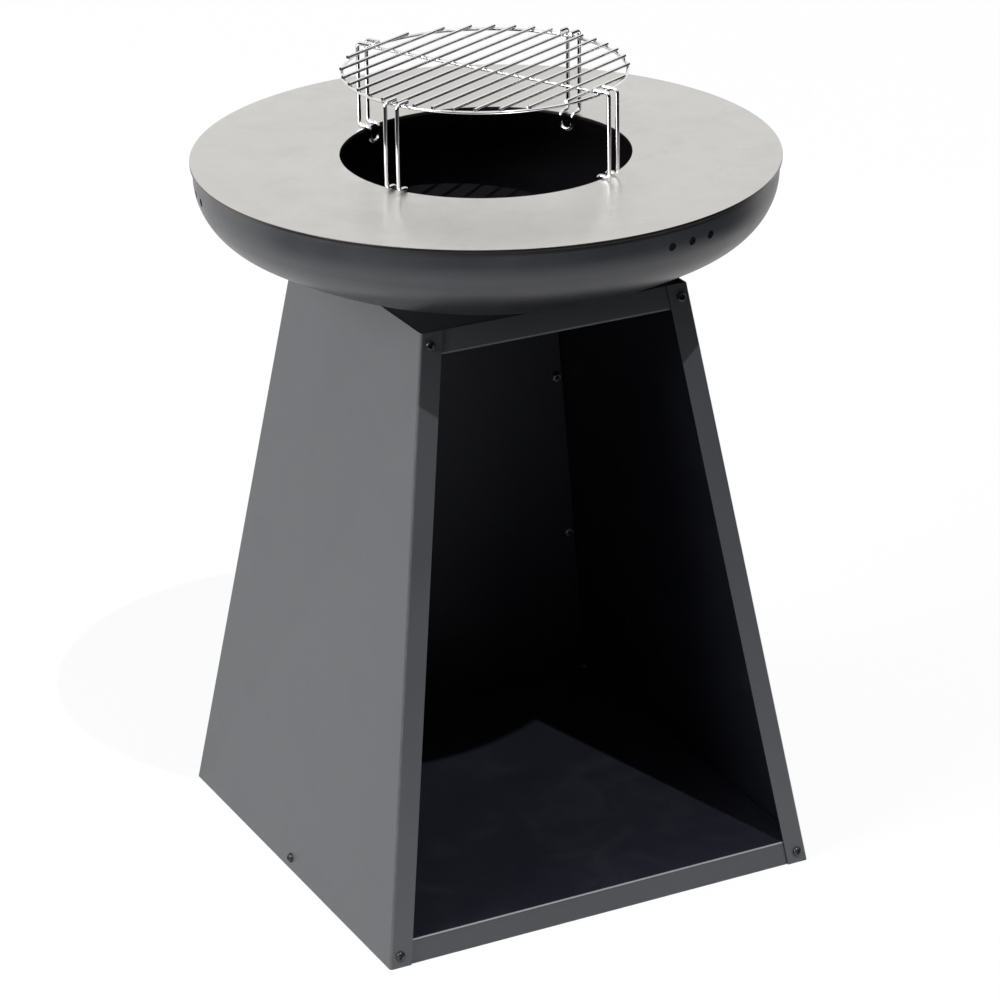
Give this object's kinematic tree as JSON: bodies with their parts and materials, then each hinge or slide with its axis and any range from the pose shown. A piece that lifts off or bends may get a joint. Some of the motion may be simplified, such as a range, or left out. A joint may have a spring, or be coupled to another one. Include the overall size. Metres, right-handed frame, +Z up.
{
  "type": "column barbecue",
  "caption": "Tapered sheet-steel stand open at the front for firewood, with a dished fire bowl, ring griddle plate and raised round wire cooking grate, each of which lifts off.",
  "frame": {"origin": "on the floor under the centre of the bowl", "axes": "+Z up, -Y towards the open front of the stand, +X to the right when the open front is faced"},
  "size_m": [0.7, 0.7, 0.9933],
  "materials": {
    "stand_paint": "fine satin powder coat, dark grey",
    "bowl_paint": "spun steel under satin heat-resistant grey paint",
    "plate_steel": "bare rolled steel, pale grey, faint grain",
    "grate_chrome": "bright chromed wire",
    "screw_black": "blackened steel",
    "nut_zinc": "plain zinc-plated steel"
  },
  "bodies": {
    "stand": {"left_side_panel": "stand_paint", "right_side_panel": "stand_paint", "back_panel": "stand_paint", "top_rail": "stand_paint", "floor_shelf": "stand_paint", "front_bottom_left_screw": "screw_black", "front_top_left_screw": "screw_black", "left_side_screw": "screw_black", "back_1_left_screw": "screw_black", "back_2_left_screw": "screw_black", "back_3_left_screw": "screw_black", "back_4_left_screw": "screw_black", "front_bottom_right_screw": "screw_black", "front_top_right_screw": "screw_black", "right_side_screw": "screw_black", "back_1_right_screw": "screw_black", "back_2_right_screw": "screw_black", "back_3_right_screw": "screw_black", "back_4_right_screw": "screw_black", "front_bottom_left_nut": "nut_zinc", "front_top_left_nut": "nut_zinc", "left_side_nut": "nut_zinc", "back_1_left_nut": "nut_zinc", "back_2_left_nut": "nut_zinc", "back_3_left_nut": "nut_zinc", "back_4_left_nut": "nut_zinc", "front_bottom_right_nut": "nut_zinc", "front_top_right_nut": "nut_zinc", "right_side_nut": "nut_zinc", "back_1_right_nut": "nut_zinc", "back_2_right_nut": "nut_zinc", "back_3_right_nut": "nut_zinc", "back_4_right_nut": "nut_zinc"},
    "fire_bowl": {"fire_bowl": "bowl_paint"},
    "griddle": {"griddle_plate": "plate_steel", "plate_tab_1": "plate_steel", "plate_tab_2": "plate_steel", "plate_tab_3": "plate_steel"},
    "cooking_grate": {"grate_ring": "grate_chrome", "grate_cross_wire": "grate_chrome", "grate_bar_01": "grate_chrome", "grate_bar_02": "grate_chrome", "grate_bar_03": "grate_chrome", "grate_bar_04": "grate_chrome", "grate_bar_05": "grate_chrome", "grate_bar_06": "grate_chrome", "grate_bar_07": "grate_chrome", "grate_bar_08": "grate_chrome", "grate_bar_09": "grate_chrome", "grate_bar_10": "grate_chrome", "grate_bar_11": "grate_chrome", "grate_bar_12": "grate_chrome", "grate_bar_13": "grate_chrome", "grate_bar_14": "grate_chrome", "grate_bar_15": "grate_chrome", "grate_leg_right": "grate_chrome", "grate_leg_back": "grate_chrome", "grate_leg_left": "grate_chrome", "grate_leg_front": "grate_chrome"}
  },
  "joints": [
    {"name": "bowl_lift", "type": "slide", "parent": "stand", "child": "fire_bowl", "axis": [0, 0, 1], "range_m": [0, 0.15]},
    {"name": "griddle_lift", "type": "slide", "parent": "fire_bowl", "child": "griddle", "axis": [0, 0, 1], "range_m": [0, 0.12]},
    {"name": "grate_lift", "type": "slide", "parent": "griddle", "child": "cooking_grate", "axis": [0, 0, 1], "range_m": [0, 0.12]}
  ]
}
